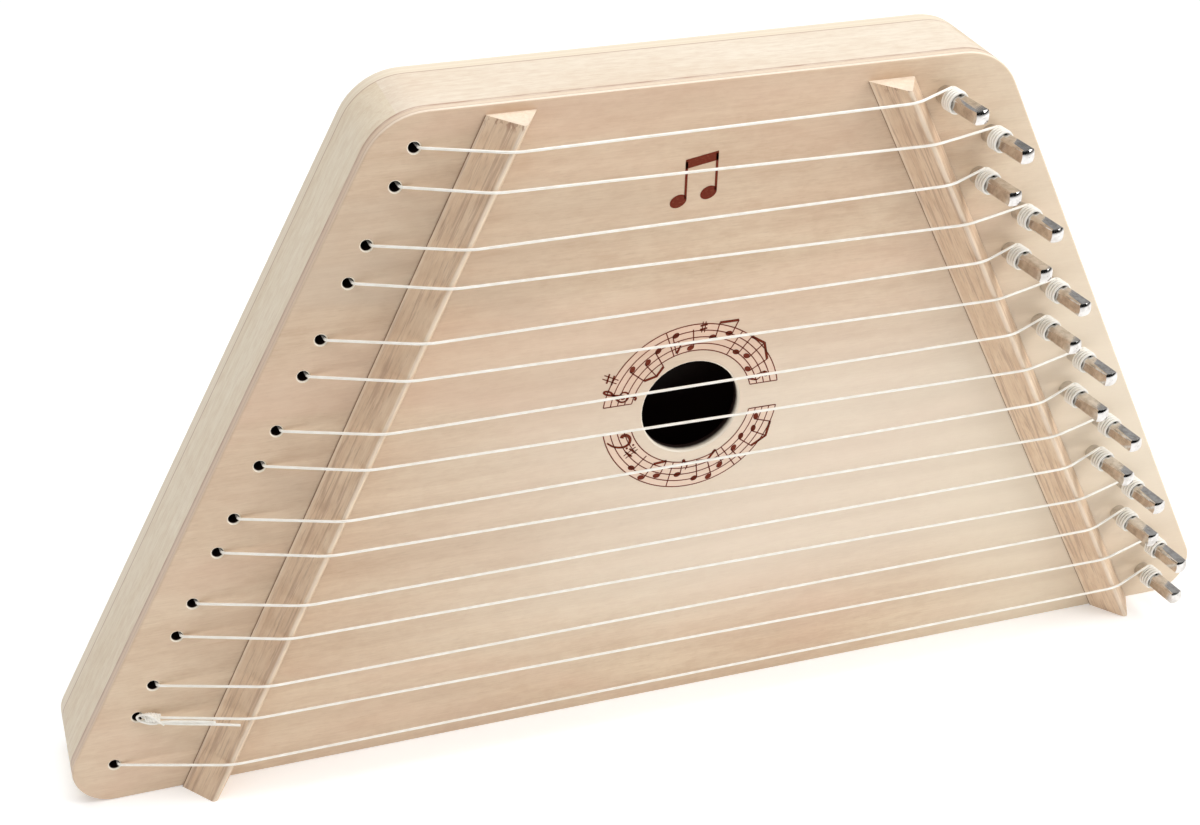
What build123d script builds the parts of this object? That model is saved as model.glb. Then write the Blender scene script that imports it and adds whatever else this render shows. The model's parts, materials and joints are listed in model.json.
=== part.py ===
"""Child's wooden lap harp with fifteen strings, standing on its long bottom edge.

Millimetres. The origin is the centre of the bottom face: +X to the pin side, +Z up, and the playing
face looks towards -Y. Heights above the playing face are measured along -Y.
"""
import os
from math import acos, asin, atan2, cos, degrees, hypot, radians, sin, sqrt, tan

from build123d import *

# Body: a symmetric trapezoid box
body_height = 233.0
base_length = 440.0
side_slope = 0.515
body_depth = 36.0
soundboard_t = 4.0
back_t = 6.0
top_corner_r = 22.0
bottom_corner_r = 13.0
edge_r = 0.8

# Frame inside the box
rail_width = 9.0
hitch_width = 30.0
pin_block_width = 34.0
brace_width = 8.0
brace_depth = 12.0
brace_levels = (52.0, 185.0)

# Sound hole
sound_hole_r = 17.0
sound_hole_z = 118.3
sound_rim_break = 0.5
string_rim_break = 0.4

# Bridges: three-sided bars, steeper on the side of the pins; widths are to either side of the ridge
bridge_left_width = 8.7
bridge_right_width = 5.9
bridge_sharp_height = 11.9
bridge_ridge_r = 1.1
bridge_foot_relief = 0.3
left_ridge_foot = -167.6
left_ridge_slope = 0.467
left_bridge_top = 229.8
right_ridge_foot = 179.9
right_ridge_slope = -side_slope
right_bridge_top = 227.0

# Strings, in pairs: the odd ones end on the inner pin row, the even ones on the outer row
string_count = 15
pair_pitch = 29.6
string_r = 0.45
string_hole_r = 1.8
string_hole_inset = 14.6
odd_hole_z = 221.9
even_hole_z = 210.2
anchor_hole_r = 0.8
anchor_pocket_r = 3.5
anchor_neck = 8.0
knot_r = 1.8
seat_gap = 0.02
hole_bend_r = 1.2
hole_bend_depth = 0.25

# Tuning pins
pin_r = 3.05
pin_running_gap = 0.03
pin_free_gap = 0.3
pin_lean = 8.0
pin_exposed = 21.0
pin_buried = 26.0
odd_pin_z = 219.6
even_pin_z = 204.3
inner_row_foot = 197.6
inner_row_slope = -0.532
outer_row_foot = 204.1
outer_row_slope = -side_slope
head_length = 13.5
head_root_side = 5.5
head_tip_side = 4.7
tip_dome = 1.0
end_break = 0.8
becket_hole_r = 0.6
becket_height = 7.9

# Windings
winding_start = 2.7
winding_turns = 4
turn_pitch = 1.0

# Repair knot and loose end on string 14
splice_string = 14
splice_start = 3.8
splice_length = 8.0
splice_r = 1.3
tail_route = [
    (-187.2, -18.9, 31.4),
    (-180.9, -21.4, 30.8),
    (-173.1, -23.8, 30.6),
    (-164.9, -26.8, 30.9),
    (-157.2, -29.2, 30.5),
]

# Sizes worked out from the ones above
half_depth = body_depth / 2
top_length = base_length - 2 * side_slope * body_height
rail_depth = body_depth - soundboard_t - back_t
knot_seat = back_t - body_depth
left_pitch = atan2(bridge_sharp_height, bridge_left_width)
right_pitch = atan2(bridge_sharp_height, bridge_right_width)
ridge_height = bridge_sharp_height - bridge_ridge_r * (
    cos((right_pitch - left_pitch) / 2) / cos((right_pitch + left_pitch) / 2) - 1
)
string_top = ridge_height + string_r + seat_gap
ridge_wrap_r = bridge_ridge_r * (1 + side_slope**2) + string_r
dome_r = (pin_r**2 + tip_dome**2) / (2 * tip_dome)
dome_start = degrees(acos(pin_r / dome_r))
turn_middle_r = pin_r + seat_gap + string_r
turn_outer_r = turn_middle_r + string_r
winding_stand_off = sqrt((turn_outer_r + pin_free_gap + string_r) ** 2 - turn_middle_r**2)


def face_plane(height):
    """Plane parallel to the playing face, `height` above it, with local axes X and Z."""
    return Plane.XZ.offset(half_depth + height)


def on_face(x, z, height=0.0):
    """Point in the row's frame at `height` above the playing face."""
    return Vector(x, -half_depth - height, z)


def save(piece, label):
    """Label a finished piece and write it to its own STEP file."""
    piece.part.label = label
    export_step(piece.part, f"parts/{label}.step")


def left_edge(z, inset=0.0):
    """X of the left side at a height, moved in by a horizontal inset."""
    return side_slope * z - base_length / 2 + inset


def string_hole(index):
    """X and Z of a string hole; index runs from 0 at the top."""
    first = even_hole_z if index % 2 else odd_hole_z
    z = first - pair_pitch * (index // 2)
    return left_edge(z, string_hole_inset), z


def pin_foot(index):
    """X and Z where a tuning pin leaves the playing face."""
    if index % 2:
        z = even_pin_z - pair_pitch * (index // 2)
        return outer_row_foot + outer_row_slope * z, z
    z = odd_pin_z - pair_pitch * (index // 2)
    return inner_row_foot + inner_row_slope * z, z


def pin_plane(index, height=0.0):
    """Plane across a tuning pin, `height` along it from the playing face."""
    x, z = pin_foot(index)
    lean = radians(pin_lean)
    across = Vector(cos(lean), sin(lean), 0)
    along = Vector(sin(lean), -cos(lean), 0)
    return Plane(on_face(x, z), x_dir=across, z_dir=along).offset(height)


def body_outline():
    """Rounded trapezoid that both panels and the frame share."""
    with BuildSketch() as outline:
        with BuildLine():
            Polyline(
                (-base_length / 2, 0),
                (base_length / 2, 0),
                (top_length / 2, body_height),
                (-top_length / 2, body_height),
                close=True,
            )
        make_face()
        fillet(outline.vertices().group_by(Axis.Y)[0], bottom_corner_r)
        fillet(outline.vertices().group_by(Axis.Y)[-1], top_corner_r)
    return outline.sketch


def inner_corners():
    """Corners of the hollow inside the frame: bottom left, bottom right, top right, top left."""
    low = rail_width
    high = body_height - rail_width
    return [
        (left_edge(low, hitch_width), low),
        (-left_edge(low, pin_block_width), low),
        (-left_edge(high, pin_block_width), high),
        (left_edge(high, hitch_width), high),
    ]


def outer_corners():
    """Sharp corners of the trapezoid, in the same order as the inner ones."""
    return [
        (-base_length / 2, 0),
        (base_length / 2, 0),
        (top_length / 2, body_height),
        (-top_length / 2, body_height),
    ]


os.makedirs("parts", exist_ok=True)
outline = body_outline()
frame_inner = inner_corners()
frame_outer = outer_corners()
strings = range(string_count)


# Soundboard
with BuildPart() as soundboard:
    with BuildSketch(face_plane(-soundboard_t)):
        add(outline)
    extrude(amount=soundboard_t)
    face_rim = soundboard.faces().sort_by(Axis.Y)[0].outer_wire().edges()
    fillet(face_rim, edge_r)
    with BuildSketch(face_plane(0)):
        with Locations((0, sound_hole_z)):
            Circle(sound_hole_r)
        with Locations(*[string_hole(i) for i in strings]):
            Circle(string_hole_r)
    extrude(amount=-soundboard_t, mode=Mode.SUBTRACT)
    for i in strings:
        with BuildSketch(pin_plane(i, -soundboard_t - pin_r)):
            Circle(pin_r + pin_running_gap)
        extrude(amount=soundboard_t + 2 * pin_r, mode=Mode.SUBTRACT)
    face_circles = soundboard.faces().sort_by(Axis.Y)[0].inner_wires().edges()
    rim_edges = face_circles.filter_by(lambda edge: edge.geom_type == GeomType.CIRCLE)
    chamfer(rim_edges.filter_by(lambda edge: edge.radius > pin_r * 2), sound_rim_break)
    chamfer(rim_edges.filter_by(lambda edge: edge.radius < pin_r), string_rim_break)
save(soundboard, "soundboard")


# Back panel, with a pocket behind every string anchor
with BuildPart() as back_panel:
    with BuildSketch(face_plane(-body_depth)):
        add(outline)
    extrude(amount=back_t)
    back_rim = back_panel.faces().sort_by(Axis.Y)[-1].outer_wire().edges()
    fillet(back_rim, edge_r)
    with BuildSketch(face_plane(-body_depth)):
        with Locations(*[string_hole(i) for i in strings]):
            Circle(anchor_pocket_r)
    extrude(amount=back_t, mode=Mode.SUBTRACT)
save(back_panel, "back_panel")


def frame_piece(side):
    """One side of the frame, mitred from the outer to the inner corners; 0 is the bottom."""
    after = (side + 1) % 4
    with BuildPart() as piece:
        with BuildSketch(face_plane(knot_seat)):
            add(outline)
            with BuildLine():
                Polyline(
                    frame_outer[side],
                    frame_outer[after],
                    frame_inner[after],
                    frame_inner[side],
                    close=True,
                )
            make_face(mode=Mode.INTERSECT)
        extrude(amount=rail_depth)
    return piece


bottom_rail = frame_piece(0)
save(bottom_rail, "bottom_rail")
top_rail = frame_piece(2)
save(top_rail, "top_rail")


# Pin block: a close-fitting blind bore for every tuning pin
with BuildPart() as pin_block:
    add(frame_piece(1).part)
    for i in strings:
        with BuildSketch(pin_plane(i, -pin_buried - pin_free_gap)):
            Circle(pin_r + pin_running_gap)
        extrude(amount=pin_buried, mode=Mode.SUBTRACT)
save(pin_block, "pin_block")


# Hitch block: wide at the front for the string, narrow at the back for the knot to bear on
with BuildPart() as hitch_block:
    add(frame_piece(3).part)
    with BuildSketch(face_plane(knot_seat)):
        with Locations(*[string_hole(i) for i in strings]):
            Circle(anchor_hole_r)
    extrude(amount=rail_depth, mode=Mode.SUBTRACT)
    with BuildSketch(face_plane(knot_seat + anchor_neck)):
        with Locations(*[string_hole(i) for i in strings]):
            Circle(string_hole_r)
    extrude(amount=rail_depth, mode=Mode.SUBTRACT)
save(hitch_block, "hitch_block")


# Braces under the soundboard, from block to block
for brace_name, level in zip(("lower_brace", "upper_brace"), brace_levels):
    low = level - brace_width / 2
    high = level + brace_width / 2
    with BuildPart() as brace:
        with BuildSketch(face_plane(-soundboard_t - brace_depth)):
            with BuildLine():
                Polyline(
                    (left_edge(low, hitch_width), low),
                    (-left_edge(low, pin_block_width), low),
                    (-left_edge(high, pin_block_width), high),
                    (left_edge(high, hitch_width), high),
                    close=True,
                )
            make_face()
        extrude(amount=brace_depth)
    save(brace, brace_name)


def bridge(foot, slope, top):
    """Three-sided bar with a rounded ridge and eased feet, cut off level at the bottom and at `top`."""
    flank = 1 - bridge_foot_relief / bridge_sharp_height
    overrun = bridge_left_width + bridge_right_width
    along = Vector(slope, 0, 1)
    start = on_face(foot, 0) - along * overrun
    section_plane = Plane(start, x_dir=Vector(1, 0, -slope), z_dir=along)
    with BuildPart() as piece:
        with BuildSketch(section_plane) as section:
            with BuildLine():
                Polyline(
                    (2 * bridge_foot_relief - bridge_left_width, 0),
                    (-bridge_left_width * flank, -bridge_foot_relief),
                    (0, -bridge_sharp_height),
                    (bridge_right_width * flank, -bridge_foot_relief),
                    (bridge_right_width - 2 * bridge_foot_relief, 0),
                    close=True,
                )
            make_face()
            fillet(section.vertices().sort_by(Axis.Y)[0], bridge_ridge_r)
        extrude(amount=(top + 3 * overrun) * along.length)
        split(bisect_by=Plane.XY, keep=Keep.TOP)
        split(bisect_by=Plane.XY.offset(top), keep=Keep.BOTTOM)
    return piece


left_bridge = bridge(left_ridge_foot, left_ridge_slope, left_bridge_top)
save(left_bridge, "left_bridge")
right_bridge = bridge(right_ridge_foot, right_ridge_slope, right_bridge_top)
save(right_bridge, "right_bridge")


def flat_cut(index, turn):
    """Plane through a pin's axis, with local Y along the pin, turned about it."""
    base = pin_plane(index)
    across = base.x_dir.rotate(Axis(base.origin, base.z_dir), turn)
    return Plane(base.origin, x_dir=across, z_dir=across.cross(base.z_dir))


def tuning_pin(index):
    """Round steel pin with a domed tip, a hole for the string and four slightly tapered flats."""
    head_start = pin_exposed - head_length
    axis = Axis(pin_plane(index).origin, pin_plane(index).z_dir)
    rim = pin_exposed - tip_dome
    with BuildPart() as pin:
        with BuildSketch(flat_cut(index, 0)):
            with BuildLine():
                Polyline(
                    (0, pin_exposed),
                    (0, -pin_buried),
                    (pin_r - end_break, -pin_buried),
                    (pin_r, end_break - pin_buried),
                    (pin_r, rim),
                )
                CenterArc((0, pin_exposed - dome_r), dome_r, dome_start, 90 - dome_start)
            make_face()
        revolve(axis=axis)
        for turn in (0, 90, 180, 270):
            with BuildSketch(flat_cut(index, turn)):
                with BuildLine():
                    Polyline(
                        (head_tip_side / 2, pin_exposed),
                        (head_root_side / 2, head_start),
                        (2 * pin_r, head_start),
                        (2 * pin_r, pin_exposed),
                        close=True,
                    )
                make_face()
            extrude(amount=pin_r, both=True, mode=Mode.SUBTRACT)
        with BuildSketch(Plane(pin_plane(index, becket_height).origin)):
            Circle(becket_hole_r)
        extrude(amount=pin_r, both=True, mode=Mode.SUBTRACT)
    return pin


def winding(index):
    """Turns of string on a pin, closed up side by side."""
    levels = [winding_start + turn_pitch * (turn + 0.5) for turn in range(winding_turns)]
    axis = Axis(pin_plane(index).origin, pin_plane(index).z_dir)
    with BuildPart() as turns:
        with BuildSketch(flat_cut(index, 0)):
            with Locations((turn_middle_r, winding_start + turn_pitch * winding_turns / 2)):
                Rectangle(string_r, turn_pitch * (winding_turns - 1))
            with Locations(*[(turn_middle_r, level) for level in levels]):
                Circle(string_r)
        revolve(axis=axis)
    return turns


def string_heading(index):
    """Plan direction of a string, as a unit vector, and its length in plan from hole to winding."""
    hole_x, hole_z = string_hole(index)
    pin_x, pin_z = pin_foot(index)
    pin_x += winding_start * tan(radians(pin_lean))
    reach = hypot(pin_x - hole_x, pin_z - hole_z)
    heading = atan2(pin_z - hole_z, pin_x - hole_x) + asin(turn_middle_r / reach)
    stop = sqrt(reach**2 - turn_middle_r**2) - winding_stand_off
    return Vector(cos(heading), 0, sin(heading)), stop


def ridge_distance(index, foot, slope):
    """Plan distance from a string's hole to where it crosses a bridge's ridge."""
    ahead, _ = string_heading(index)
    hole_x, hole_z = string_hole(index)
    return (foot + slope * hole_z - hole_x) / (ahead.X - slope * ahead.Z)


def ridge_corner(distance, end, side):
    """Corner of a string over a ridge, from where the string comes up from or goes down to."""
    run = abs(distance - end[0])
    drop = string_top - ridge_wrap_r - end[1]
    fall = atan2(drop, run) + asin(ridge_wrap_r / hypot(run, drop))
    return distance + side * ridge_wrap_r * tan(fall / 2), string_top


def string_corners(index):
    """Corners of a string in its own plane, as (distance along the face, height) pairs."""
    _, stop = string_heading(index)
    bend = (0, -hole_bend_depth)
    end = (stop, winding_start)
    left = ridge_distance(index, left_ridge_foot, left_ridge_slope)
    right = ridge_distance(index, right_ridge_foot, right_ridge_slope)
    return [(0, knot_seat), bend, ridge_corner(left, bend, -1), ridge_corner(right, end, 1), end]


def string(index):
    """A whole string from its anchor knot to just short of its winding."""
    ahead, _ = string_heading(index)
    hole_x, hole_z = string_hole(index)
    route_plane = Plane(on_face(hole_x, hole_z), x_dir=ahead, z_dir=ahead.cross(Vector(0, -1, 0)))
    bends = (hole_bend_r, ridge_wrap_r, ridge_wrap_r)
    with BuildPart() as piece:
        with BuildLine(route_plane) as route:
            FilletPolyline(*string_corners(index), radius=bends)
        with BuildSketch(face_plane(knot_seat)):
            with Locations((hole_x, hole_z)):
                Circle(string_r)
        sweep(path=route.line)
    return piece


for i in strings:
    number = f"{i + 1:02d}"
    save(tuning_pin(i), f"tuning_pin_{number}")
    save(winding(i), f"winding_{number}")
    save(string(i), f"string_{number}")


# Anchor knots, in the pockets behind the hitch block
with BuildPart() as anchor_knots:
    with BuildSketch(face_plane(knot_seat - 2 * knot_r)):
        with Locations(*[string_hole(i) for i in strings]):
            Circle(knot_r)
    extrude(amount=2 * knot_r)
    fillet(anchor_knots.edges().filter_by(GeomType.CIRCLE), knot_r / 2)
save(anchor_knots, "anchor_knots")


# Repair knot: a bead round the rising stretch of its string
splice_ahead, _ = string_heading(splice_string - 1)
splice_x, splice_z = string_hole(splice_string - 1)
_, splice_bend, splice_ridge, _, _ = string_corners(splice_string - 1)
climb = Vector(splice_ridge) - Vector(splice_bend)
climb_dir = (splice_ahead * climb.X + Vector(0, -1, 0) * climb.Y).normalized()
splice_plane = Plane(
    on_face(splice_x, splice_z, -hole_bend_depth) + climb_dir * splice_start,
    x_dir=climb_dir,
    z_dir=splice_ahead.cross(Vector(0, -1, 0)),
)
with BuildPart() as splice_knot:
    with BuildSketch(splice_plane):
        with BuildLine():
            ThreePointArc((0, string_r * 2), (splice_length / 2, splice_r), (splice_length, string_r * 2))
            Polyline(
                (splice_length, string_r * 2),
                (splice_length, string_r + seat_gap),
                (0, string_r + seat_gap),
                (0, string_r * 2),
            )
        make_face()
    revolve(axis=Axis(splice_plane.origin, climb_dir))
save(splice_knot, "splice_knot")


def corner_radii(points, share=0.45):
    """Bend radius at every inner point of a cord's route, as large as its runs allow."""
    radii = []
    for before, here, after in zip(points, points[1:], points[2:]):
        run_in = Vector(here) - Vector(before)
        run_out = Vector(after) - Vector(here)
        half_turn = radians(run_in.get_angle(run_out)) / 2
        radii.append(share * min(run_in.length, run_out.length) / tan(half_turn))
    return radii


# Loose end, past the repair knot and along the string up to the left bridge
tail_radii = corner_radii(tail_route)
with BuildPart() as string_tail:
    with BuildLine() as tail_line:
        FilletPolyline(*tail_route, radius=tail_radii)
    with BuildSketch(Plane(tail_line.line @ 0, z_dir=tail_line.line % 0)):
        Circle(string_r)
    sweep(path=tail_line.line)
save(string_tail, "string_tail")
print("loose end's bend radii:", [round(radius, 1) for radius in tail_radii])
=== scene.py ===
"""Looks of a child's wooden lap harp: fifteen nylon strings over two bridges on a pale plywood box.

Metres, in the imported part's frame: +X to the tuning pins, +Z up, and the playing face looks towards -Y.
"""

import json
from math import asin, cos, hypot, pi, radians, sin

import bmesh
import bpy
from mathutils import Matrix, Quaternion, Vector


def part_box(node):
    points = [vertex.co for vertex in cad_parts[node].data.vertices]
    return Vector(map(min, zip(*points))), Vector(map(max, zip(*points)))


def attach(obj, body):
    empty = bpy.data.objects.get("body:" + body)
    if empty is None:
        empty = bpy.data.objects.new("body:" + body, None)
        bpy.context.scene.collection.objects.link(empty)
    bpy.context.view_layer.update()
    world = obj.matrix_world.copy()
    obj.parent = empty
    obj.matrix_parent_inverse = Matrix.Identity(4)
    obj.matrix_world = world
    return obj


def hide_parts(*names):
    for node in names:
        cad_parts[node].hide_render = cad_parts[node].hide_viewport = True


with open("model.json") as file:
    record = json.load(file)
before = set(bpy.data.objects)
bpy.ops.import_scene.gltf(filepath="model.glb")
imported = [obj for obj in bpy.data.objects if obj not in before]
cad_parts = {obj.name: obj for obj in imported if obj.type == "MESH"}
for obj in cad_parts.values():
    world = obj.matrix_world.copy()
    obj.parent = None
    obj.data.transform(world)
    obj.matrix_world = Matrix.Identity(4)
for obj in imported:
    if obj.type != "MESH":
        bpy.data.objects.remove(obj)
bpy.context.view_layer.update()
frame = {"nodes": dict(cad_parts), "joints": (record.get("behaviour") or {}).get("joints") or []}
nodes = frame["nodes"]
mm = 0.001

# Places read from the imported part
face_low, face_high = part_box("soundboard")
face_y = face_low.y
back_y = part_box("back_panel")[1].y
board_t = face_high.y - face_low.y
string_numbers = [f"{i:02d}" for i in range(1, 16)]
pins = {joint["child"]: joint for joint in frame["joints"]}

# Driving sizes: the box's sloping sides up to its sharp corners, the strings, sound hole and print
side_slope = 0.515
left_bridge_slope = 0.467
half_base = 220 * mm
string_r = 0.45 * mm
sound_hole = Vector((0, 0, 118.3 * mm))
sound_hole_r = 17 * mm
staff_inner_r = 21.4 * mm
staff_space = 2.4 * mm
print_gap = 0.03 * mm

# How far inside the outline the holes and the hollow of the box begin, at the least
rim_start = 6 * mm
rim_end = 7 * mm

# Depths of the two glue lines in the face's plywood
front_glue = 1.0 * mm
back_glue = 3.1 * mm


# ---------------------------------------------------------------- camera
def make_camera():
    """Camera above and to the left of the playing face."""
    target = Vector((-31.7 * mm, face_y, 121.6 * mm))
    azimuth, elevation, roll = radians(-19.51), radians(31.28), radians(1.52)
    distance = 0.6503
    ahead = Vector(
        (-sin(azimuth) * cos(elevation), cos(azimuth) * cos(elevation), -sin(elevation))
    )
    data = bpy.data.cameras.new("camera")
    data.lens = 60.02
    data.sensor_width = 36
    data.clip_start = 0.01
    camera = bpy.data.objects.new("camera", data)
    bpy.context.collection.objects.link(camera)
    camera.location = target - ahead * distance
    camera.rotation_mode = "QUATERNION"
    camera.rotation_quaternion = ahead.to_track_quat("-Z", "Y") @ Quaternion((0, 0, 1), roll)
    bpy.context.scene.camera = camera


make_camera()


# ---------------------------------------------------------------- curves and meshes
def spline_curve(name, points, radius):
    """Round tube along one open quadratic spline with the given control points.

    A curve's box reaches a point radius past its points, so that radius is a millimetre, not a metre.
    """
    data = bpy.data.curves.new(name, "CURVE")
    data.dimensions = "3D"
    data.bevel_depth = radius / mm
    data.bevel_resolution = 4
    data.resolution_u = 10
    data.use_fill_caps = True
    spline = data.splines.new("NURBS")
    spline.points.add(len(points) - 1)
    for place, point in zip(points, spline.points):
        point.co = (*place, 1)
        point.radius = mm
    spline.order_u = 3
    spline.use_endpoint_u = True
    piece = bpy.data.objects.new(name, data)
    bpy.context.collection.objects.link(piece)
    return piece


def mesh_piece(name, build):
    """Object whose mesh is filled in by build(bm)."""
    bm = bmesh.new()
    build(bm)
    data = bpy.data.meshes.new(name)
    bm.to_mesh(data)
    bm.free()
    piece = bpy.data.objects.new(name, data)
    bpy.context.collection.objects.link(piece)
    return piece


def add_tube(bm, path, radius, sides=10):
    """Closed tube through the points of a path, with a flat cap at each end."""
    rings = []
    side = None
    last = len(path) - 1
    for i, place in enumerate(path):
        ahead = (path[min(i + 1, last)] - path[max(i - 1, 0)]).normalized()
        if side is None:
            side = ahead.orthogonal().normalized()
        side = (side - ahead * side.dot(ahead)).normalized()
        up = ahead.cross(side)
        ring = []
        for k in range(sides):
            turn = 2 * pi * k / sides
            ring.append(bm.verts.new(place + (side * cos(turn) + up * sin(turn)) * radius))
        rings.append(ring)
    for near, far in zip(rings, rings[1:]):
        for k in range(sides):
            bm.faces.new((near[k], near[(k + 1) % sides], far[(k + 1) % sides], far[k]))
    bm.faces.new(rings[0][::-1])
    bm.faces.new(rings[-1])


def smooth(piece):
    """Smooth shading on every face."""
    for polygon in piece.data.polygons:
        polygon.use_smooth = True
    return piece


# ---------------------------------------------------------------- the loose end of string 14
tail_route = [
    (-0.1872, -0.0189, 0.0314),
    (-0.1809, -0.0214, 0.0308),
    (-0.1731, -0.0238, 0.0306),
    (-0.1649, -0.0268, 0.0309),
    (-0.1572, -0.0292, 0.0305),
]
loose_end = spline_curve("loose_end", tail_route, string_r)
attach(loose_end, "harp_body")
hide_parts("string_tail")


# ---------------------------------------------------------------- materials
class Shading:
    """One material and its node tree, with a short call for each kind of node it needs."""

    def __init__(self, name, **constants):
        self.material = bpy.data.materials.new(name)
        self.material.use_nodes = True
        self.tree = self.material.node_tree
        self.shader = self.tree.nodes["Principled BSDF"]
        for socket, value in constants.items():
            self.shader.inputs[socket.replace("_", " ")].default_value = value

    def node(self, kind, inputs, output=0, **settings):
        """Adds a node, fills its inputs with values or links, and returns one of its outputs."""
        made = self.tree.nodes.new(kind)
        for key, value in settings.items():
            setattr(made, key, value)
        for key, value in inputs.items():
            if isinstance(value, bpy.types.NodeSocket):
                self.tree.links.new(value, made.inputs[key])
            else:
                made.inputs[key].default_value = value
        return made.outputs[output]

    def math(self, operation, a, b=0.0):
        """Arithmetic on values or outputs."""
        return self.node("ShaderNodeMath", {0: a, 1: b}, operation=operation)

    def place(self):
        """The surface point, in the part's frame."""
        return self.node("ShaderNodeTexCoord", {}, output="Object")

    def axes(self, vector):
        """The X, Y and Z of a vector."""
        self.node("ShaderNodeSeparateXYZ", {0: vector})
        parts = self.tree.nodes[-1].outputs
        return parts[0], parts[1], parts[2]

    def along(self, elevation):
        """The surface point, turned so that X runs with grain that rises at an angle to the row's X."""
        turned = {"Vector": self.place(), "Rotation": (0, elevation, 0)}
        return self.node("ShaderNodeMapping", turned)

    def noise(self, vector, scale, detail=2.0, roughness=0.5, distortion=0.0):
        """Noise from 0 to 1, with its own scale on each axis."""
        scaled = self.node("ShaderNodeVectorMath", {0: vector, 1: scale}, operation="MULTIPLY")
        settings = {
            "Vector": scaled,
            "Scale": 1.0,
            "Detail": detail,
            "Roughness": roughness,
            "Distortion": distortion,
        }
        return self.node("ShaderNodeTexNoise", settings)

    def between(self, value, low, high, to_low=0.0, to_high=1.0):
        """The value stretched from one range to another, smoothly, and held at its ends."""
        settings = {
            "Value": value,
            "From Min": low,
            "From Max": high,
            "To Min": to_low,
            "To Max": to_high,
        }
        return self.node("ShaderNodeMapRange", settings, interpolation_type="SMOOTHSTEP")

    def mix(self, share, a, b, blend="MIX"):
        """Colour a turned into colour b by a share."""
        made = self.tree.nodes.new("ShaderNodeMix")
        made.data_type = "RGBA"
        made.blend_type = blend
        for key, value in ((0, share), (6, a), (7, b)):
            if isinstance(value, bpy.types.NodeSocket):
                self.tree.links.new(value, made.inputs[key])
            elif key:
                made.inputs[key].default_value = (*value, 1)
            else:
                made.inputs[key].default_value = value
        return made.outputs[2]

    def bump(self, height, depth, strength):
        """Normal of a surface that the height raises by up to a depth."""
        return self.node("ShaderNodeBump", {"Height": height, "Distance": depth, "Strength": strength})

    def facing(self):
        """The X, Y and Z of the surface's own normal."""
        return self.axes(self.node("ShaderNodeNewGeometry", {}, output="True Normal"))

    def near(self, value, middle, outer, inner):
        """1 within an inner distance of a value, fading to 0 at the outer one."""
        distance = self.math("ABSOLUTE", self.math("SUBTRACT", value, middle))
        return self.between(distance, outer, inner)

    def use(self, **links):
        """Links outputs to the shader's own inputs."""
        for socket, value in links.items():
            self.tree.links.new(value, self.shader.inputs[socket.replace("_", " ")])
        return self.material


def grain(s, vector, light, dark, streak=0.4, fleck=0.10):
    """Colour, roughness and height of pale close-grained wood whose fibres run with the vector's X."""
    broad = s.noise(vector, (7, 20, 26), detail=3, roughness=0.55, distortion=0.8)
    figure = s.noise(vector, (12, 150, 150), detail=4, roughness=0.6, distortion=0.9)
    mottle = s.noise(vector, (170, 420, 420), detail=3, roughness=0.65)
    fibre = s.noise(vector, (110, 2100, 2100), detail=3, roughness=0.6)
    pore = s.noise(vector, (240, 2600, 2600), detail=1)
    cloud = s.between(broad, 0.35, 0.65)
    line = s.between(figure, 0.36, 0.66)
    tone = s.math("ADD", s.math("MULTIPLY", cloud, 1 - streak), s.math("MULTIPLY", line, streak))
    colour = s.mix(tone, light, dark)
    spots = s.between(mottle, 0.38, 0.66)
    colour = s.mix(s.math("MULTIPLY", spots, 0.14), colour, (0.62, 0.40, 0.27), blend="MULTIPLY")
    fibres = s.between(fibre, 0.30, 0.70)
    colour = s.mix(s.math("MULTIPLY", fibres, 0.12), colour, (0.50, 0.33, 0.18), blend="MULTIPLY")
    dashes = s.between(pore, 0.62, 0.72)
    colour = s.mix(s.math("MULTIPLY", dashes, fleck), colour, (0.28, 0.16, 0.08))
    rough = s.between(fibre, 0.2, 0.8, 0.46, 0.62)
    height = s.math("SUBTRACT", fibre, s.math("MULTIPLY", dashes, 0.6))
    return colour, rough, height


def side_depth(s, x, z, side):
    """How far the surface point is inside the left (-1) or right (1) side of the box."""
    edge = s.math("SUBTRACT", half_base, s.math("MULTIPLY", z, side_slope))
    inside = s.math("SUBTRACT", edge, s.math("MULTIPLY", x, side))
    return s.math("MULTIPLY", inside, 1 / hypot(1, side_slope))


def outline_depth(s):
    """How far the surface point is inside the box's outline."""
    x, _, z = s.axes(s.place())
    sides = s.math("MINIMUM", side_depth(s, x, z, -1), side_depth(s, x, z, 1))
    ends = s.math("MINIMUM", z, s.math("SUBTRACT", face_high.z, z))
    return s.math("MINIMUM", sides, ends)


# Linear colours that several materials share
maple_light = (0.800, 0.640, 0.465)
maple_dark = (0.680, 0.500, 0.345)
# Pale raw wood: the walls of the holes have it as their own colour; the bridges take it for painted
# highlights.
raw_wood_and_highlight = (0.95, 0.86, 0.72)
joint_brown = (0.46, 0.27, 0.19)
# Painted shade, near black, for the walls of the holes and the inside of the box.
painted_inner_shade = (0.016, 0.006, 0.004)


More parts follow.
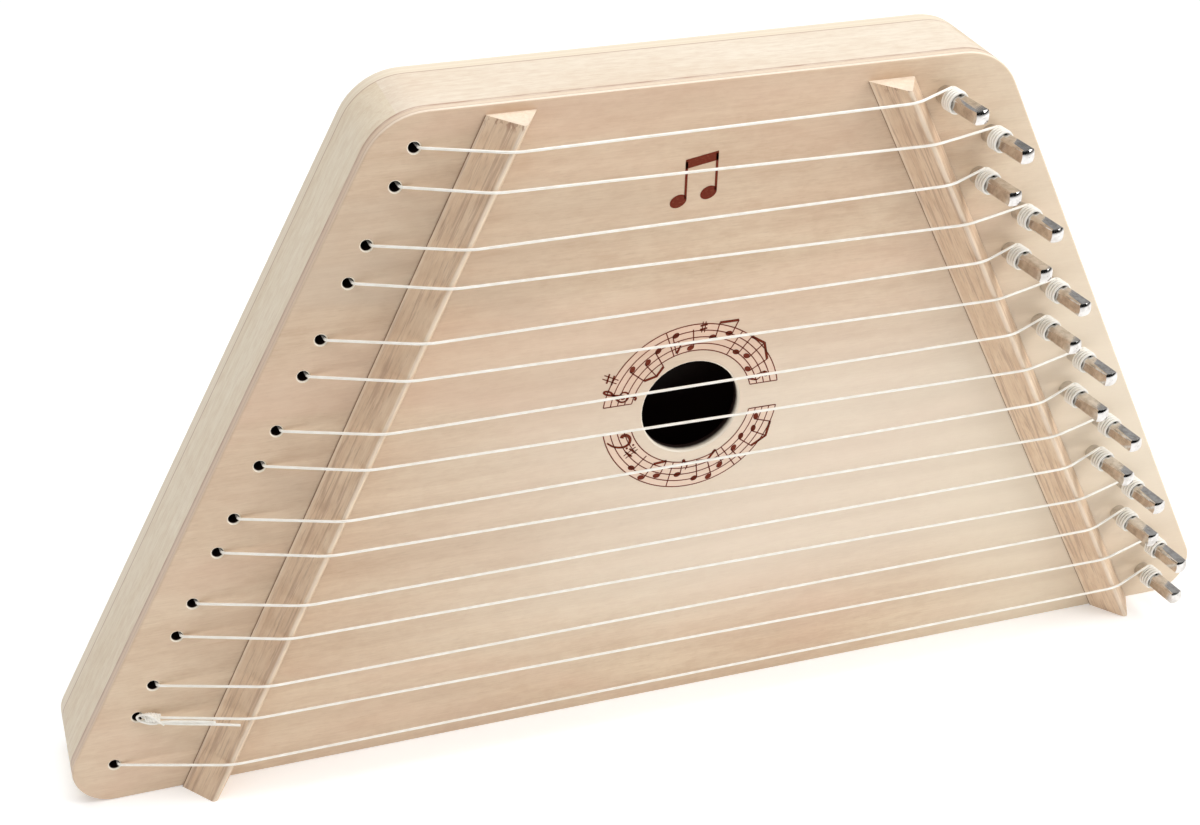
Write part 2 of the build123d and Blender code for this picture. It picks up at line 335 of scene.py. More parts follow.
def face_tones(s, vector, colour):
    """Patches of the playing face: pink all over, painted shade in grey patches to the left, a painted
    sheen low down, and painted light towards the pins.
    """
    x, _, z = s.axes(s.place())
    pink = s.between(s.noise(vector, (5, 12, 14), detail=3, distortion=1.2), 0.42, 0.64)
    colour = s.mix(s.math("MULTIPLY", pink, 0.35), colour, (0.78, 0.53, 0.39))
    # Painted shade: the face turns darker and greyer towards the left, in random patches.
    grey = s.between(s.noise(vector, (6, 15, 11), detail=3, distortion=1.0), 0.48, 0.68)
    left = s.between(x, 80 * mm, -170 * mm, 0.0, 0.5)
    colour = s.mix(s.math("MULTIPLY", s.math("ADD", grey, 0.35), left), colour, (0.56, 0.44, 0.33))
    # Painted sheen: a paler, whiter patch low on the face, growing towards the right.
    band = s.math("MULTIPLY", s.between(z, 10 * mm, 60 * mm), s.between(z, 170 * mm, 105 * mm))
    painted_sheen = s.math("MULTIPLY", band, s.between(x, -140 * mm, 20 * mm))
    colour = s.mix(s.math("MULTIPLY", painted_sheen, 0.6), colour, (0.90, 0.80, 0.67))
    # Painted light: the face turns paler towards the pins on the right.
    return s.mix(s.between(x, 70 * mm, 140 * mm, 0.0, 0.55), colour, (0.88, 0.77, 0.60))


def ply_edge(s, x, depth):
    """Edge of the face's panel: two skins and a core, two glue lines, the joint to the rails, and painted
    shade that darkens it towards the left.
    """
    end_grain = s.noise(s.place(), (900, 700, 900), detail=3, roughness=0.6)
    core = s.math(
        "MULTIPLY",
        s.between(depth, front_glue - 0.1 * mm, front_glue + 0.1 * mm),
        s.between(depth, back_glue + 0.1 * mm, back_glue - 0.1 * mm),
    )
    core_colour = s.mix(end_grain, (0.76, 0.61, 0.46), (0.86, 0.72, 0.57))
    skin_colour = s.mix(end_grain, (0.86, 0.72, 0.57), (0.94, 0.84, 0.70))
    colour = s.mix(core, skin_colour, core_colour)
    # Painted shade: the panel's edge darkens towards the left.
    colour = s.mix(s.between(x, -70 * mm, -120 * mm, 0.0, 0.75), colour, (0.66, 0.48, 0.35))
    glue = s.math(
        "MAXIMUM",
        s.near(depth, front_glue, 0.26 * mm, 0.10 * mm),
        s.near(depth, back_glue, 0.26 * mm, 0.10 * mm),
    )
    colour = s.mix(s.math("MULTIPLY", glue, 0.45), colour, (0.42, 0.25, 0.17))
    joint = s.between(depth, board_t - 0.75 * mm, board_t - 0.40 * mm)
    worn = s.between(s.noise(s.place(), (120, 10, 120), detail=2), 0.3, 0.7, 0.35, 1.0)
    return s.mix(s.math("MULTIPLY", joint, worn), colour, joint_brown)


def painted_hole_shade(s, x, z, depth):
    """Share of painted shade at a depth in a hole's wall: it starts just below the rim, and fades in
    slowly in the sound hole.
    """
    offset = {0: s.math("SUBTRACT", x, sound_hole.x), 1: s.math("SUBTRACT", z, sound_hole.z)}
    centre = s.node("ShaderNodeCombineXYZ", offset)
    reach = s.node("ShaderNodeVectorMath", {0: centre}, output="Value", operation="LENGTH")
    in_sound_hole = s.between(reach, sound_hole_r + 1.2 * mm, sound_hole_r + 0.8 * mm)
    elsewhere = s.math("SUBTRACT", 1.0, in_sound_hole)
    small = s.between(depth, 0.40 * mm, 0.65 * mm)
    large = s.between(depth, 0.6 * mm, 2.6 * mm)
    return s.math("ADD", s.math("MULTIPLY", small, elsewhere), s.math("MULTIPLY", large, in_sound_hole))


def face_plywood(name, tint=None, share=0.0):
    """Lacquered birch plywood with its grain along X, a banded edge, and painted shade, near black, down
    the walls of the holes.
    """
    s = Shading(name, Specular_IOR_Level=0.4, Coat_Weight=0.15, Coat_Roughness=0.35)
    vector = s.along(0.0)
    colour, rough, height = grain(s, vector, maple_light, maple_dark)
    colour = face_tones(s, vector, colour)
    if tint:
        colour = s.mix(share, colour, tint)
    x, y, z = s.axes(s.place())
    depth = s.math("SUBTRACT", y, face_y)
    wall = s.between(s.math("ABSOLUTE", s.facing()[1]), 0.9, 0.7)
    colour = s.mix(wall, colour, ply_edge(s, x, depth))
    inside = s.between(outline_depth(s), rim_start, rim_end)
    colour = s.mix(s.math("MULTIPLY", inside, wall), colour, raw_wood_and_highlight)
    # Painted shade: the walls of the holes turn near black below the rim.
    colour = s.mix(s.math("MULTIPLY", inside, painted_hole_shade(s, x, z, depth)), colour, painted_inner_shade)
    normal = s.bump(height, 0.035 * mm, 0.5)
    return s.use(Base_Color=colour, Roughness=rough, Normal=normal)


def rail_wood(name, elevation, light, dark):
    """Lacquered solid wood round the box, with thin brown joints; inside the box it is painted dark as
    shade.
    """
    s = Shading(name, Specular_IOR_Level=0.4, Coat_Weight=0.06, Coat_Roughness=0.4)
    vector = s.along(elevation)
    colour, rough, height = grain(s, vector, light, dark, fleck=0.08)
    _, y, _ = s.axes(s.place())
    behind = s.math("SUBTRACT", y, face_y + board_t)
    ahead = s.math("SUBTRACT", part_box("back_panel")[0].y, y)
    front_joint = s.between(behind, 0.45 * mm, 0.15 * mm)
    back_joint = s.between(ahead, 0.55 * mm, 0.25 * mm)
    joint = s.math("MAXIMUM", front_joint, back_joint)
    colour = s.mix(s.math("MULTIPLY", joint, 0.75), colour, joint_brown)
    # Painted shade: the rails' faces inside the box are near black.
    colour = s.mix(s.between(outline_depth(s), rim_start, rim_end), colour, painted_inner_shade)
    normal = s.bump(height, 0.04 * mm, 0.5)
    return s.use(Base_Color=colour, Roughness=rough, Normal=normal)


def back_plywood(name):
    """Back panel: plywood outside, painted dark as shade inside the box, with a thin seam where it meets
    the rails.
    """
    s = Shading(name, Specular_IOR_Level=0.4, Coat_Weight=0.06, Coat_Roughness=0.4)
    vector = s.along(0.0)
    colour, rough, height = grain(s, vector, maple_light, (0.70, 0.54, 0.37))
    _, y, _ = s.axes(s.place())
    ahead = s.math("SUBTRACT", back_y, y)
    thickness = back_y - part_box("back_panel")[0].y
    wall = s.between(s.math("ABSOLUTE", s.facing()[1]), 0.9, 0.6)
    plies = {"Vector": s.place(), "Scale": 130.0, "Distortion": 0.4, "Detail": 1.0}
    ply = s.node("ShaderNodeTexWave", plies, bands_direction="Y")
    edge_colour = s.mix(s.math("MULTIPLY", ply, 0.5), (0.86, 0.76, 0.61), (0.77, 0.64, 0.48))
    seam = s.between(ahead, thickness - 0.35 * mm, thickness - 0.1 * mm)
    edge_colour = s.mix(s.math("MULTIPLY", seam, 0.45), edge_colour, (0.45, 0.28, 0.16))
    colour = s.mix(wall, colour, edge_colour)
    # Painted shade: the panel's inner face, inside the box, is near black.
    inside = s.between(outline_depth(s), rim_start, rim_end)
    front = s.between(ahead, thickness - 0.3 * mm, thickness - 0.1 * mm)
    colour = s.mix(s.math("MULTIPLY", inside, front), colour, painted_inner_shade)
    normal = s.bump(height, 0.035 * mm, 0.5)
    return s.use(Base_Color=colour, Roughness=rough, Normal=normal)


def bridge_wood(name, bridge, slope):
    """Bridge bar: beech with short dark fibres along the bar, painted highlights on its ridge and along
    its foot, a painted contact shadow at its foot, and torn, paler sawn ends.
    """
    elevation = pi / 2 - asin(slope / hypot(1, slope))
    s = Shading(name, Specular_IOR_Level=0.35)
    vector = s.along(elevation)
    light, dark = (0.84, 0.66, 0.48), (0.72, 0.53, 0.37)
    colour, rough, height = grain(s, vector, light, dark, streak=0.6, fleck=0.22)
    wavy = s.noise(vector, (34, 700, 700), detail=4, roughness=0.65, distortion=0.6)
    colour = s.mix(s.math("MULTIPLY", s.between(wavy, 0.50, 0.62), 0.60), colour, (0.47, 0.31, 0.22))
    _, y, z = s.axes(s.place())
    # Painted highlight: a pale band along the ridge.
    ridge_highlight = s.between(y, face_y - 10.3 * mm, face_y - 10.8 * mm)
    colour = s.mix(s.math("MULTIPLY", ridge_highlight, 0.35), colour, raw_wood_and_highlight)
    # Painted highlight: a pale line along the bar's foot.
    foot_highlight = s.between(y, face_y - 1.5 * mm, face_y - 0.9 * mm)
    colour = s.mix(s.math("MULTIPLY", foot_highlight, 0.25), colour, raw_wood_and_highlight)
    # Painted contact shadow: a dark line where the bar meets the face.
    foot_contact_shadow = s.between(y, face_y - 0.60 * mm, face_y - 0.40 * mm)
    colour = s.mix(s.math("MULTIPLY", foot_contact_shadow, 0.9), colour, (0.20, 0.09, 0.045))
    end = s.between(s.math("ABSOLUTE", s.facing()[2]), 0.85, 0.95)
    saw = s.noise(s.place(), (500, 420, 900), detail=3, roughness=0.7)
    end_colour = s.mix(saw, (0.74, 0.57, 0.42), (0.96, 0.86, 0.71))
    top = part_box(bridge)[1].z
    torn = s.noise(s.place(), (420, 420, 170), detail=3, roughness=0.7)
    near_top = s.between(z, top - 3.4 * mm, top - 0.6 * mm)
    chips = s.math("MULTIPLY", s.between(torn, 0.54, 0.62), near_top)
    colour = s.mix(s.math("MULTIPLY", chips, 0.7), colour, (0.36, 0.20, 0.13))
    colour = s.mix(end, colour, end_colour)
    rise = s.math("ADD", height, s.math("MULTIPLY", saw, end))
    rise = s.math("SUBTRACT", rise, s.math("MULTIPLY", chips, 2.0))
    normal = s.bump(rise, 0.06 * mm, 0.6)
    return s.use(Base_Color=colour, Roughness=rough, Normal=normal)


def nylon():
    """White monofilament with a satin skin and faint drawing lines."""
    s = Shading(
        "white_nylon",
        Specular_IOR_Level=0.5,
        Coat_Weight=0.25,
        Coat_Roughness=0.2,
        Sheen_Weight=0.15,
    )
    cloud = s.noise(s.place(), (260, 260, 260), detail=3)
    colour = s.mix(s.between(cloud, 0.3, 0.7), (0.97, 0.95, 0.89), (0.90, 0.86, 0.78))
    rough = s.between(cloud, 0.2, 0.8, 0.28, 0.42)
    line = s.noise(s.place(), (400, 5200, 5200), detail=2)
    return s.use(Base_Color=colour, Roughness=rough, Normal=s.bump(line, 0.02 * mm, 0.35))


def bright_steel():
    """Bright nickel-plated steel with faint turning marks and finger haze."""
    s = Shading("bright_steel", Metallic=1.0)
    haze = s.noise(s.place(), (420, 420, 420), detail=4, roughness=0.6)
    colour = s.mix(s.between(haze, 0.35, 0.7), (0.74, 0.72, 0.70), (0.56, 0.53, 0.50))
    rough = s.between(haze, 0.3, 0.75, 0.07, 0.20)
    marks = s.noise(s.place(), (900, 9000, 900), detail=2)
    return s.use(Base_Color=colour, Roughness=rough, Normal=s.bump(marks, 0.01 * mm, 0.25))


def printing_ink():
    """Red-brown ink, worn thin in specks by the wood's pores."""
    s = Shading("brown_ink", Specular_IOR_Level=0.15)
    speck = s.noise(s.place(), (900, 3000, 3600), detail=3, roughness=0.7)
    colour = s.mix(s.between(speck, 0.52, 0.80), (0.160, 0.022, 0.008), (0.34, 0.11, 0.055))
    rough = s.between(speck, 0.2, 0.8, 0.5, 0.7)
    return s.use(Base_Color=colour, Roughness=rough, Normal=s.bump(speck, 0.01 * mm, 0.3))


def dress(node, material):
    """Gives a CAD node its material."""
    slots = nodes[node].material_slots
    if not slots:
        nodes[node].data.materials.append(material)
    for slot in slots:
        slot.material = material


side_elevation = pi / 2 - asin(side_slope / hypot(1, side_slope))
string_material = nylon()
steel_material = bright_steel()
ink_material = printing_ink()
loose_end.data.materials.append(string_material)

dress("soundboard", face_plywood("face_plywood"))
dress("back_panel", back_plywood("back_plywood"))
rail_material = rail_wood("rail_maple", 0.0, (0.89, 0.80, 0.67), (0.81, 0.69, 0.55))
for rail in ("top_rail", "bottom_rail", "upper_brace", "lower_brace"):
    dress(rail, rail_material)
block_colours = (0.87, 0.77, 0.61), (0.785, 0.655, 0.485)
dress("hitch_block", rail_wood("hitch_maple", side_elevation, *block_colours))
dress("pin_block", rail_wood("pin_block_maple", -side_elevation, *block_colours))
dress("left_bridge", bridge_wood("left_bridge_beech", "left_bridge", left_bridge_slope))
dress("right_bridge", bridge_wood("right_bridge_beech", "right_bridge", -side_slope))
for number in string_numbers:
    dress(f"tuning_pin_{number}", steel_material)


# ---------------------------------------------------------------- strings and windings
# Turns on a tuning pin, with heights along it from where its joint is placed
winding_start = 2.7 * mm
winding_turns = 4
winding_steps = 28
turn_pitch = 1.20 * mm
becket_height = 7.9 * mm
becket_depth = 1.2 * mm
pin_r = 3.05 * mm
turn_r = pin_r + string_r + 0.02 * mm

# Bends of a string over a ridge and at the rim of its hole
bend_reach = 8 * mm
ridge_bend = radians(9)
rim_reach = 1.25 * mm
rim_lift = 0.35 * mm


def string_marks(number):
    """A string's deep end in its hole, its places on the left and right ridges, and their level."""
    points = [vertex.co for vertex in nodes[f"string_{number}"].data.vertices]
    deepest = max(point.y for point in points)
    anchor = [point for point in points if point.y > deepest - 0.01 * mm]
    hole = sum(anchor, Vector()) / len(anchor)
    highest = min(point.y for point in points)
    top = [point for point in points if point.y < highest + 0.03 * mm]
    left = min(top, key=lambda point: point.x)
    right = max(top, key=lambda point: point.x)
    return hole, left, right, highest + string_r


def hole_rim(hole):
    """Where a string leaves its hole, on the side of the ridge."""
    return Vector((hole.x + rim_reach, face_y - rim_lift, hole.z))


def build_string(number):
    """String from its knot behind the hitch block, over both ridges, to its pin."""
    hole, left, right, top_y = string_marks(number)
    joint = pins[f"pin_{number}"]
    axis = Vector(joint["axis"])
    foot = Vector(joint["pos_m"])
    rim = hole_rim(hole)
    landing = foot + axis * (winding_start + string_r) + Vector((0, 0, turn_r))
    ridge_y = top_y - bend_reach / 4 * sin(ridge_bend)
    corners = [rim]
    for ridge in (left, right):
        share = (ridge.x - rim.x) / (landing.x - rim.x)
        corners.append(Vector((ridge.x, ridge_y, rim.z + (landing.z - rim.z) * share)))
    corners.append(landing)
    route = [
        hole,
        Vector((hole.x, face_y + 20 * mm, hole.z)),
        Vector((rim.x, face_y + 1.5 * mm, hole.z)),
        rim,
        rim + (corners[1] - rim).normalized() * 2.5 * mm,
    ]
    for before, corner, after in zip(corners, corners[1:], corners[2:]):
        route.append(corner + (before - corner).normalized() * bend_reach)
        route.append(corner)
        route.append(corner + (after - corner).normalized() * bend_reach)
    route.append(landing)
    piece = spline_curve(f"nylon_string_{number}", route, string_r)
    piece.data.materials.append(string_material)
    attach(piece, "harp_body")
    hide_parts(f"string_{number}")


def build_winding(number):
    """Close turns of string on a pin; the inner end goes into the hole through the pin."""
    joint = pins[f"pin_{number}"]
    axis = Vector(joint["axis"])
    foot = Vector(joint["pos_m"])
    top = Vector((0, 0, 1))
    side = Vector((-axis.y, axis.x, 0))

    def place(step, height, radius):
        turn = 2 * pi * step / winding_steps
        return foot + axis * height + (top * cos(turn) + side * sin(turn)) * radius

    start_height = winding_start + string_r
    end_height = start_height + turn_pitch * winding_turns
    path = []
    for k in range(winding_turns * winding_steps + 1):
        path.append(place(k, start_height + turn_pitch * k / winding_steps, turn_r))
    lead_in = 8
    for k in range(1, lead_in + 1):
        rise = (becket_height - end_height) * k / lead_in
        path.append(place(k, end_height + rise, turn_r - 0.07 * mm * k))
    path.append(place(lead_in, becket_height, becket_depth))

    piece = smooth(mesh_piece(f"string_turns_{number}", lambda bm: add_tube(bm, path, string_r)))
    piece.data.materials.append(string_material)
    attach(piece, f"pin_{number}")
    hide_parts(f"winding_{number}")


for number in string_numbers:
    build_string(number)
    build_winding(number)


# ---------------------------------------------------------------- print on the face
# Sizes of the printed notation, in millimetres
line_width = 0.38
bar_width = 0.40
stem_width = 0.42
beam_width = 0.95
head_length = 1.28
head_width = 0.92
stem_side = 1.08


class Print:
    """Flat ink shapes just above the playing face, drawn in millimetres round an origin."""

    def __init__(self, bm, origin, lift):
        self.bm = bm
        self.origin = origin
        self.y = face_y - lift

    def point(self, place):
        """A vertex at an X and Z from the origin."""
        return self.bm.verts.new(
            (self.origin.x + place[0] * mm, self.y, self.origin.z + place[1] * mm)
        )

    def shape(self, outline):
        """One filled face."""
        face = self.bm.faces.new([self.point(place) for place in outline])
        face.normal_update()
        if face.normal.y > 0:
            face.normal_flip()

    def stroke(self, line, width, tip=None):
        """A band along a line of points; its width runs from `width` to `tip`."""
        tip = width if tip is None else tip
        last = len(line) - 1
        edges = []
        for i, (x, z) in enumerate(line):
            before, after = line[max(i - 1, 0)], line[min(i + 1, last)]
            ahead = Vector((after[0] - before[0], after[1] - before[1])).normalized()
            half = (width + (tip - width) * i / last) / 2
            across = ahead.y * half, ahead.x * half
            edges.append(((x - across[0], z + across[1]), (x + across[0], z - across[1])))
        for near, far in zip(edges, edges[1:]):
            self.shape((near[0], near[1], far[1], far[0]))

    def oval(self, centre, length, width, tilt, sides=20):
        """A filled ellipse."""
        outline = []
        for k in range(sides):
            turn = 2 * pi * k / sides
            a, b = length * cos(turn), width * sin(turn)
            outline.append(
                (centre[0] + a * cos(tilt) - b * sin(tilt), centre[1] + a * sin(tilt) + b * cos(tilt))
            )
        self.shape(outline)


def on_span(a, b, c, d, t):
    """A Catmull-Rom spline's value between b and c."""
    linear = (c - a) * t
    square = (2 * a - 5 * b + 4 * c - d) * t**2
    cube = (3 * b - a - 3 * c + d) * t**3
    return 0.5 * (2 * b + linear + square + cube)


def rounded(points, steps=6):
    """A smooth line through the given points."""
    line = []
    padded = [points[0], *points, points[-1]]
    for span in zip(padded, padded[1:], padded[2:], padded[3:]):
        for k in range(steps):
            line.append(tuple(on_span(*values, k / steps) for values in zip(*span)))
    return [*line, points[-1]]


class Staff:
    """A bent five-line staff. The upper one reads clockwise and its top is outward; the lower one reads
    anticlockwise and its top is inward."""

    def __init__(self, ink, upper, start_drop, end_drop):
        self.ink = ink
        self.upper = upper
        self.start_drop = start_drop
        self.end_drop = end_drop

    def radius(self, step):
        """Radius of a staff step; steps 0 to 8 run from the bottom line to the top one."""
        step = step if self.upper else 8 - step
        return (staff_inner_r + staff_space * step / 2) / mm

    def ends(self, step):
        """Angles at which a staff line starts and stops, so that both its ends are level cuts."""
        start = asin(self.start_drop / self.radius(step))
        end = asin(self.end_drop / self.radius(step))
        return (pi - start, end) if self.upper else (pi + start, 2 * pi - end)

    def at(self, degrees, step):
        """The point at an angle on a staff step."""
        angle = radians(degrees)
        return self.radius(step) * cos(angle), self.radius(step) * sin(angle)

    def local(self, degrees, step, right, up):
        """A point given right of and above a place on the staff."""
        angle = radians(degrees)
        x, z = self.at(degrees, step)
        sense = 1 if self.upper else -1
        rise = Vector((cos(angle), sin(angle))) * sense
        along = Vector((rise.y, -rise.x))
        return x + along.x * right + rise.x * up, z + along.y * right + rise.y * up

    def lines(self):
        """The five lines and the cuts that close their two ends."""
        steps = (0, 2, 4, 6, 8)
        cuts = [self.ends(step) for step in steps]
        for step, (start, end) in zip(steps, cuts):
            arc = [start + (end - start) * k / 60 for k in range(61)]
            r = self.radius(step)
            self.ink.stroke([(r * cos(angle), r * sin(angle)) for angle in arc], line_width)
        for side in (0, 1):
            line = []
            for step, cut in zip(steps, cuts):
                line.append((self.radius(step) * cos(cut[side]), self.radius(step) * sin(cut[side])))
            self.ink.stroke(line, line_width)

    def bar(self, degrees):
        """A bar line across the staff."""
        self.ink.stroke([self.at(degrees, 0), self.at(degrees, 8)], bar_width)

    def head(self, degrees, step):
        """A note's filled head, tilted up to its right."""
        tilt = radians(degrees - 90 if self.upper else degrees - 270) + radians(20)
        self.ink.oval(self.at(degrees, step), head_length, head_width, tilt)

    def note(self, degrees, step, stem=6.6, flag=False):
        """A note; a stem above 0 goes up from the head's right, one below 0 goes down from its left."""
        self.head(degrees, step)
        side = stem_side if stem > 0 else -stem_side
        ends = (side, 0.2), (side, stem)
        self.ink.stroke([self.local(degrees, step, *end) for end in ends], stem_width)
        if flag:
            turn = -1 if stem > 0 else 1
            hook = [
                (side, stem),
                (side + 1.3, stem + turn * 1.5),
                (side + 1.9, stem + turn * 2.6),
                (side + 1.5, stem + turn * 4.0),
            ]
            self.ink.stroke(rounded([self.local(degrees, step, *place) for place in hook]), 1.0, 0.3)

    def beamed(self, notes, stem):
        """Notes joined by a beam; `notes` holds each one's angle and step."""
        tops = []
        side = stem_side if stem > 0 else -stem_side
        for degrees, step in notes:
            self.note(degrees, step, stem)
            tops.append(self.local(degrees, step, side, stem))
        self.ink.stroke(tops, beam_width)

    def sharp(self, degrees, step, size=1.0):
        """A sharp: two thin uprights and two thick, rising bars."""
        for right in (-0.55, 0.55):
            ends = (right * size, -2.2 * size), (right * size, 2.2 * size)
            self.ink.stroke([self.local(degrees, step, *end) for end in ends], 0.36)
        for up in (-0.75, 0.75):
            ends = (-1.4 * size, (up - 0.3) * size), (1.4 * size, (up + 0.3) * size)
            self.ink.stroke([self.local(degrees, step, *end) for end in ends], 0.62)

    def glyph(self, degrees, step, points, size, width, tip):
        """A clef: one smooth stroke through its points."""
        line = [self.local(degrees, step, right * size, up * size) for right, up in points]
        self.ink.stroke(rounded(line), width, tip)


# Strokes of the two clefs, right of and above the clef's place
g_clef = [
    (-0.15, 0.60), (-0.45, 1.05), (-0.10, 1.60), (0.45, 1.75), (0.95, 1.35), (1.00, 0.60),
    (0.45, 0.02), (-0.35, 0.05), (-0.95, 0.55), (-1.05, 1.35), (-0.60, 2.30), (0.10, 3.10),
    (0.60, 3.90), (0.65, 4.80), (0.35, 5.20), (0.02, 4.60), (0.00, 3.60), (0.15, 2.00),
    (0.35, 0.00), (0.42, -1.00), (0.15, -1.60), (-0.35, -1.45),
]
f_clef = [
    (-0.75, 2.75), (-1.05, 3.10), (-0.75, 3.70), (0.00, 3.95), (0.80, 3.55), (1.00, 2.70),
    (0.60, 1.75), (-0.20, 0.90), (-1.20, 0.35),
]


def staff_pair(ink):
    """The upper and the lower staff."""
    return Staff(ink, True, 4.7, 5.2), Staff(ink, False, 5.8, 4.3)


def print_staffs(bm):
    """Two staffs round the sound hole with a short made-up tune on each."""
    ink = Print(bm, sound_hole, 2 * print_gap)
    upper, lower = staff_pair(ink)
    upper.lines()
    upper.glyph(162, 1.6, g_clef, 1.75, 0.55, 0.85)
    upper.sharp(152, 9, 1.25)
    upper.beamed([(140, 5), (129, 3), (118, 4)], -6.4)
    upper.bar(108.5)
    upper.note(103, 6, -6.6, flag=True)
    upper.note(93, 1, 6.6)
    upper.sharp(84, 7, 0.9)
    upper.beamed([(76, 4), (65, 6)], 5.4)
    upper.bar(57)
    upper.beamed([(51, 2), (41, 3), (30, 1)], 7.2)
    upper.note(18, 5, -5.8, flag=True)
    lower.lines()
    lower.glyph(202, 0, f_clef, 2.1, 1.45, 0.6)
    for step in (5, 7):
        ink.oval(lower.local(202, step, 3.1, 0), 0.42, 0.42, 0)
    lower.sharp(214.5, 5, 1.15)
    lower.note(225, 2, 6.4)
    lower.beamed([(236, 1), (246, 3)], 6.2)
    lower.bar(256)
    lower.note(262, 4, 5.8, flag=True)
    lower.beamed([(275, 2), (285, 1), (295, 3)], 6.6)
    lower.bar(303.5)
    lower.note(311, 5, -6.2)
    lower.beamed([(322, 6), (332, 4), (342, 5)], -6.0)


def print_wash(bm):
    """Faint colour that the staffs' ink leaves between their lines."""
    steps = 60
    for staff in staff_pair(Print(bm, sound_hole, print_gap)):
        inner, outer = (0, 8) if staff.upper else (8, 0)
        for k in range(steps):
            corners = []
            for step, share in ((inner, k), (outer, k), (outer, k + 1), (inner, k + 1)):
                start, end = staff.ends(step)
                angle = start + (end - start) * (share / steps)
                corners.append((staff.radius(step) * cos(angle), staff.radius(step) * sin(angle)))
            staff.ink.shape(corners)


def print_motif(bm):
    """Plain pair of beamed notes near the top of the face."""
    ink = Print(bm, Vector((-2.3 * mm, 0, 200.4 * mm)), 2 * print_gap)
    for x, z in ((-5.6, -6.4), (4.4, -4.6)):
        ink.oval((x, z), 2.9, 2.1, radians(24))
        ink.stroke([(x + 2.35, z + 0.6), (x + 2.35, z + 13.0)], 0.85)
    ink.shape([(-3.65, 4.2), (7.15, 6.1), (7.15, 9.2), (-3.65, 7.3)])


def build_print():
    """The print's pieces, each with its material."""
    for name, draw, material in (
        ("staff_wash", print_wash, face_plywood("washed_plywood", (0.95, 0.55, 0.42), 0.24)),
        ("staff_print", print_staffs, ink_material),
        ("note_motif", print_motif, ink_material),
    ):
        piece = mesh_piece(name, draw)
        piece.data.materials.append(material)
        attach(piece, "harp_body")


build_print()


# ---------------------------------------------------------------- knots
# Route of the splice knot's two strands, in millimetres ahead of, above and out from the hole's rim
collar_route = [
    (-0.9, 0.8, 0.2), (0.2, 1.55, 0.7), (1.8, 1.85, 1.0), (3.6, 1.35, 1.4), (5.0, 0.3, 1.6),
    (5.9, -0.8, 1.3), (6.5, -1.6, 1.0), (7.2, -2.3, 0.9),
]
strand_route = [
    (-0.9, 0.8, 0.2), (-1.5, 0.1, 0.2), (-1.0, -0.8, 0.5), (0.6, -1.3, 0.9), (2.6, -1.7, 1.1),
    (4.6, -1.6, 1.1), (6.6, -1.15, 0.9), (10.0, -0.95, 0.86), (14.5, -0.90, 0.85),
    (19.0, -0.86, 0.85), (24.0, -0.98, 0.86),
]


def wrap_route(turns=6, steps=24):
    """Tight, leaning wraps along the knot, widest near its middle."""
    route = []
    for k in range(turns * steps + 1):
        turn = 2 * pi * k / steps
        share = k / (turns * steps)
        swell = 0.95 + 0.34 * sin(pi * min(1, share * 1.1)) ** 0.8
        ahead = 0.9 + 5.0 * share + 0.45 * sin(turn)
        route.append((ahead, cos(turn) * swell * 1.05 - 0.1, sin(turn) * swell * 0.95))
    return route


def build_splice_knot():
    """Tight wrapped knot where string 14 leaves its hole, with a short end and a second loose strand."""
    hole, left, _, top_y = string_marks("14")
    start = hole_rim(hole)
    ahead = (Vector((left.x, top_y, left.z)) - start).normalized()
    up = Vector((0, 0, 1))
    out = ahead.cross(up).normalized()
    if out.y > 0:
        out = -out

    def placed(route):
        return [start + (ahead * a + up * b + out * c) * mm for a, b, c in route]

    def build(bm):
        add_tube(bm, placed(wrap_route()), 0.45 * mm)
        for route in (collar_route, strand_route):
            add_tube(bm, placed(rounded(route, 5)), 0.44 * mm)

    piece = smooth(mesh_piece("splice_strands", build))
    piece.data.materials.append(string_material)
    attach(piece, "harp_body")
    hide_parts("splice_knot")


def overhand_knot(hole, seat):
    """Open trefoil of string that lies on its seat behind a hole."""
    spread = 0.44 * mm
    steps = 63
    loose_start = 0.25
    path = []
    for k in range(steps + 1):
        t = loose_start + (2 * pi - 2 * loose_start) * k / steps
        x = hole.x + (sin(t) + 2 * sin(2 * t)) * spread
        z = hole.z + (cos(t) - 2 * cos(2 * t)) * spread
        path.append(Vector((x, seat + (1.15 - 0.62 * sin(3 * t)) * mm, z)))
    return path


def build_anchor_knots():
    """Overhand knots that hold the strings behind the hitch block."""
    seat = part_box("anchor_knots")[0].y

    def build(bm):
        for number in string_numbers:
            hole = string_marks(number)[0]
            add_tube(bm, overhand_knot(hole, seat), 0.42 * mm, 8)

    piece = smooth(mesh_piece("overhand_knots", build))
    piece.data.materials.append(string_material)
    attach(piece, "harp_body")
    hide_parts("anchor_knots")


build_splice_knot()
build_anchor_knots()


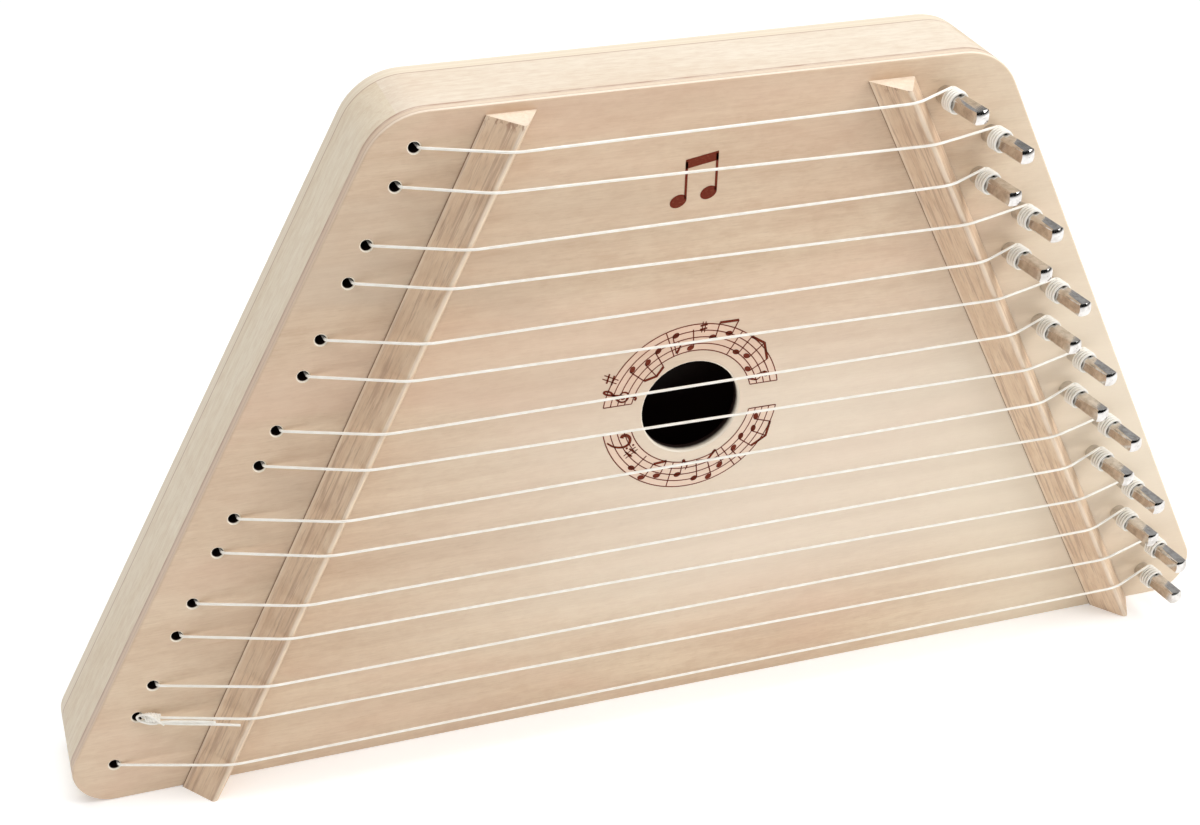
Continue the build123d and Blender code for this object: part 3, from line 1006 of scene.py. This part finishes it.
# ---------------------------------------------------------------- floor and light
def make_floor():
    """Plain pale floor, large enough to reach the horizon."""

    def build(bm):
        bmesh.ops.create_grid(bm, x_segments=1, y_segments=1, size=40)

    floor = mesh_piece("floor", build)
    s = Shading("pale_floor", Roughness=0.9, Specular_IOR_Level=0.1, Emission_Strength=0.22)
    s.shader.inputs["Emission Color"].default_value = (1, 1, 1, 1)
    cloud = s.noise(s.place(), (2, 2, 2), detail=2)
    colour = s.mix(cloud, (0.93, 0.93, 0.93), (0.95, 0.95, 0.95))
    floor.data.materials.append(s.use(Base_Color=colour))


def area_light(name, place, target, size, energy):
    """Soft box of a width and depth that looks at a target."""
    data = bpy.data.lights.new(name, "AREA")
    data.shape = "RECTANGLE"
    data.size, data.size_y = size
    data.energy = energy
    lamp = bpy.data.objects.new(name, data)
    bpy.context.collection.objects.link(lamp)
    lamp.location = place
    lamp.rotation_euler = (Vector(target) - Vector(place)).to_track_quat("-Z", "Y").to_euler()


def make_world():
    """Pale room whose walls are dark near the floor, which gives the pins their black reflections."""
    world = bpy.data.worlds.new("studio")
    world.use_nodes = True
    tree = world.node_tree
    background = tree.nodes["Background"]
    background.inputs["Strength"].default_value = 0.42
    direction = tree.nodes.new("ShaderNodeTexCoord").outputs["Generated"]
    split = tree.nodes.new("ShaderNodeSeparateXYZ")
    wall = tree.nodes.new("ShaderNodeMapRange")
    wall.interpolation_type = "SMOOTHSTEP"
    wall.inputs["From Min"].default_value = 0.30
    wall.inputs["From Max"].default_value = 0.50
    wall.inputs["To Min"].default_value = 0.02
    wall.inputs["To Max"].default_value = 1.0
    tree.links.new(direction, split.inputs[0])
    tree.links.new(split.outputs[2], wall.inputs["Value"])
    tree.links.new(wall.outputs[0], background.inputs["Color"])
    bpy.context.scene.world = world


def make_light():
    """Large soft light from the upper right, one overhead, and a weak one from the front left."""
    area_light("key", (1.25, -0.55, 0.95), (0, 0, 0.12), (1.1, 1.1), 16)
    area_light("overhead", (-0.2, 0.1, 1.5), (0, 0, 0.1), (1.6, 1.2), 14)
    area_light("fill", (-0.9, -1.3, 0.8), (0, 0, 0.12), (1.0, 1.0), 1.8)
    make_world()
    bpy.context.scene.view_settings.view_transform = "Standard"


make_floor()
make_light()
